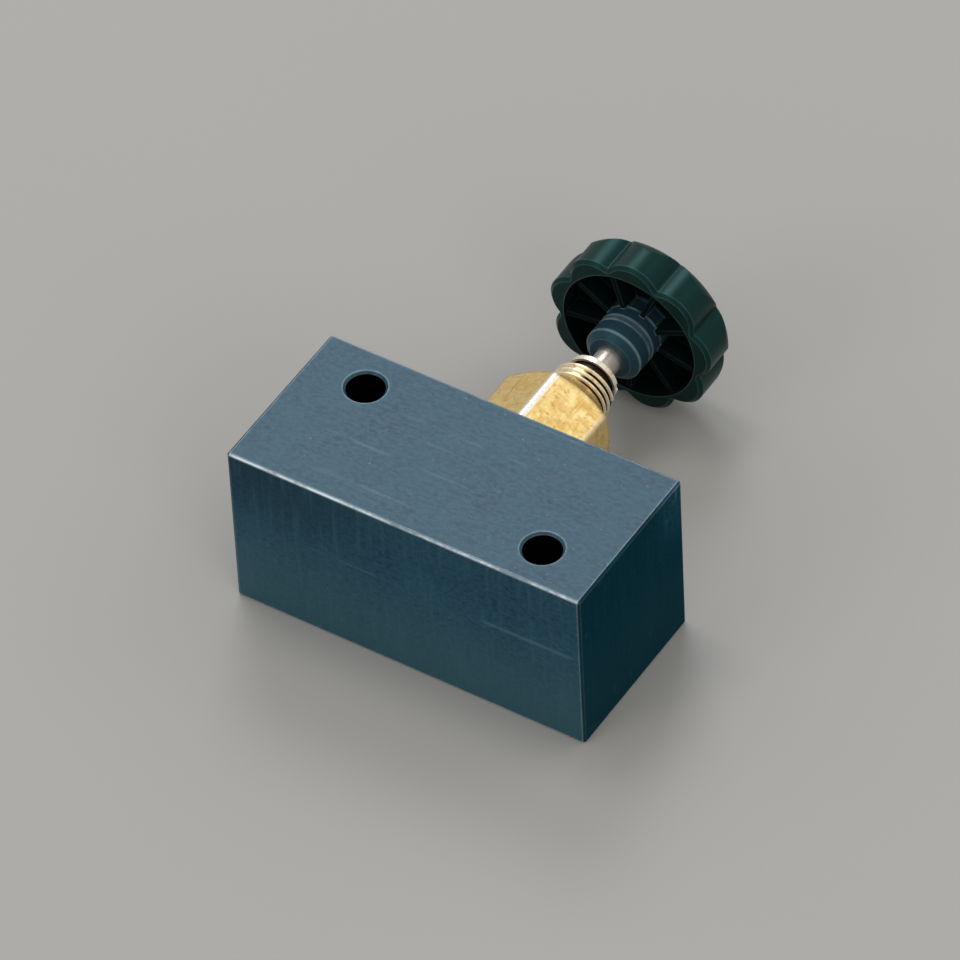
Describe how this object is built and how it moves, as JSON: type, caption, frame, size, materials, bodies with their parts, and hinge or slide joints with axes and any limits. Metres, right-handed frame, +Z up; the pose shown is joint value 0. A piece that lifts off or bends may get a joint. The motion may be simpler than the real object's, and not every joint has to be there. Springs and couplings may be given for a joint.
{
  "type": "hydraulic bypass valve",
  "caption": "Hydraulic bypass valve: drilled steel block, brass hexagon bonnet with a packed stem, and a lobed handwheel that screws a needle off its seat.",
  "frame": {"origin": "centre of the block's bottom face, the one with the ports", "axes": "+X along the block, +Y from the blank front face to the handwheel, +Z up through the mounting holes"},
  "size_m": [0.085, 0.099, 0.042],
  "materials": {
    "blued_steel": "machined steel, blackened, with a blue-grey satin and bright worn edges",
    "brass": "turned bar brass, slightly dull",
    "stem_steel": "polished, faintly warm",
    "bright_steel": "plain turned steel",
    "copper": "soft copper sealing ring",
    "seal_rubber": "matt black",
    "packing_white": "waxy white",
    "black_plastic": "moulded, semi-gloss black"
  },
  "bodies": {
    "valve_body": {"valve_block": "blued_steel", "seat_insert": "bright_steel", "seat_seal": "copper", "bonnet": "brass", "bonnet_seal": "seal_rubber", "packing_washer": "bright_steel", "packing_lower_adaptor": "packing_white", "packing_ring_1": "packing_white", "packing_ring_2": "packing_white", "packing_ring_3": "packing_white", "packing_upper_adaptor": "packing_white", "gland_follower": "brass", "gland_screw": "brass"},
    "needle": {"needle_tip": "bright_steel", "tip_clip": "bright_steel"},
    "handwheel": {"spindle": "stem_steel", "knob": "black_plastic", "knob_insert": "brass", "knob_washer": "bright_steel", "knob_screw": "bright_steel", "knob_cap": "black_plastic"}
  },
  "joints": [
    {"name": "needle_lift", "type": "slide", "parent": "valve_body", "child": "needle", "axis": [0, 1, 0], "range_m": [-0.005, 0.0005]},
    {"name": "handwheel_turn", "type": "hinge", "parent": "needle", "child": "handwheel", "pos_m": [0, 0, 0.021], "axis": [0, 1, 0], "range_deg": [-1800, 180]}
  ],
  "couplings": [
    {"joint": "handwheel_turn", "follows": "needle_lift", "rad_per_m": 6283.2}
  ]
}
